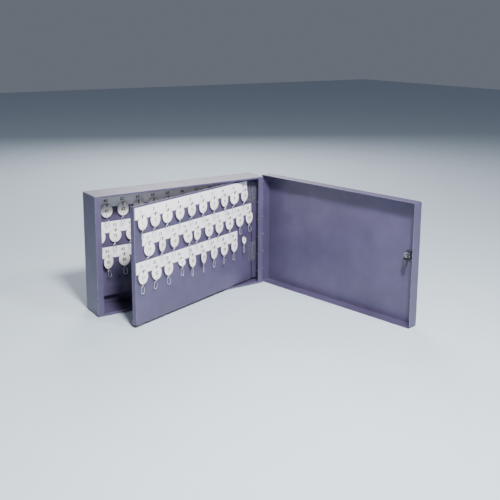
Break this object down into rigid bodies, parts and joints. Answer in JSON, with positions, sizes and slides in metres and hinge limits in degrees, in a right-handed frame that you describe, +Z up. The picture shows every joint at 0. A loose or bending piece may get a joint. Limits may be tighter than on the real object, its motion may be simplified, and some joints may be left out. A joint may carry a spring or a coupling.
{
  "type": "key cabinet",
  "caption": "Wall-mounted steel key cabinet with a hinged lid-type door, cam lock, swing-out key panel and fixed key plate, hooks, numbered labels and key tags.",
  "frame": {"origin": "centre of the case's bottom face", "axes": "+X towards the door's hinge side, +Y towards the wall, +Z up"},
  "size_m": [0.5215, 0.4575, 0.258],
  "materials": {
    "grey_enamel": "satin grey enamel with a slight violet tint",
    "label_paper": "matt white card strip with printed numbers",
    "tag_plastic": "warm white fibre board, slightly worn",
    "snap_wire": "dull bright-zinc wire",
    "hook_wire": "drawn steel wire",
    "zinc_plate": "bright zinc plate",
    "lock_chrome": "polished chrome, lightly scratched"
  },
  "bodies": {
    "case": {"case_back": "grey_enamel", "case_top": "grey_enamel", "case_bottom": "grey_enamel", "case_left_side": "grey_enamel", "case_right_side": "grey_enamel", "back_key_plate": "grey_enamel", "back_hooks": "hook_wire", "back_label_row_1": "label_paper", "back_label_row_2": "label_paper", "back_label_row_3": "label_paper", "back_tags_row_1": "tag_plastic", "back_tags_row_2": "tag_plastic", "back_tags_row_3": "tag_plastic", "back_snaps_row_1": "snap_wire", "back_snaps_row_2": "snap_wire", "back_snaps_row_3": "snap_wire", "panel_hinge_bracket": "grey_enamel", "bracket_rivets": "zinc_plate", "upper_hinge_fixed_leaf": "zinc_plate", "lower_hinge_fixed_leaf": "zinc_plate", "upper_hinge_pin": "zinc_plate", "lower_hinge_pin": "zinc_plate", "hinge_fixed_rivets": "zinc_plate", "piano_hinge_case_leaf": "grey_enamel", "piano_hinge_pin": "zinc_plate", "piano_hinge_case_rivets": "zinc_plate"},
    "panel": {"swing_panel": "grey_enamel", "panel_front_hooks": "hook_wire", "panel_front_label_row_1": "label_paper", "panel_front_label_row_2": "label_paper", "panel_front_label_row_3": "label_paper", "panel_front_tags_row_1": "tag_plastic", "panel_front_tags_row_2": "tag_plastic", "panel_front_tags_row_3": "tag_plastic", "panel_front_snaps_row_1": "snap_wire", "panel_front_snaps_row_2": "snap_wire", "panel_front_snaps_row_3": "snap_wire", "panel_rear_hooks": "hook_wire", "panel_rear_label_row_1": "label_paper", "panel_rear_label_row_2": "label_paper", "panel_rear_label_row_3": "label_paper", "panel_rear_tags": "tag_plastic", "panel_rear_snaps": "snap_wire", "upper_hinge_moving_leaf": "zinc_plate", "lower_hinge_moving_leaf": "zinc_plate", "hinge_moving_rivets": "zinc_plate"},
    "door": {"door_pan": "grey_enamel", "piano_hinge_door_leaf": "grey_enamel", "piano_hinge_door_rivets": "zinc_plate", "lock_barrel": "lock_chrome", "lock_nut": "zinc_plate"},
    "lock": {"lock_plug": "lock_chrome", "lock_cam": "zinc_plate", "cam_screw": "zinc_plate"}
  },
  "joints": [
    {"name": "door_hinge", "type": "hinge", "parent": "case", "child": "door", "pos_m": [0.2086, -0.01725, 0.127], "axis": [0, 0, 1], "range_deg": [-101, 79]},
    {"name": "panel_hinge", "type": "hinge", "parent": "case", "child": "panel", "pos_m": [0.191, -0.00905, 0.127], "axis": [0, 0, 1], "range_deg": [-19, 71]},
    {"name": "lock_turn", "type": "hinge", "parent": "door", "child": "lock", "pos_m": [0.30992, -0.3975, 0.142], "axis": [-0.9816, -0.1908, 0], "range_deg": [0, 90]}
  ],
  "couplings": [
    {"joint": "panel_hinge", "follows": "door_hinge", "ratio": 0.1881}
  ]
}
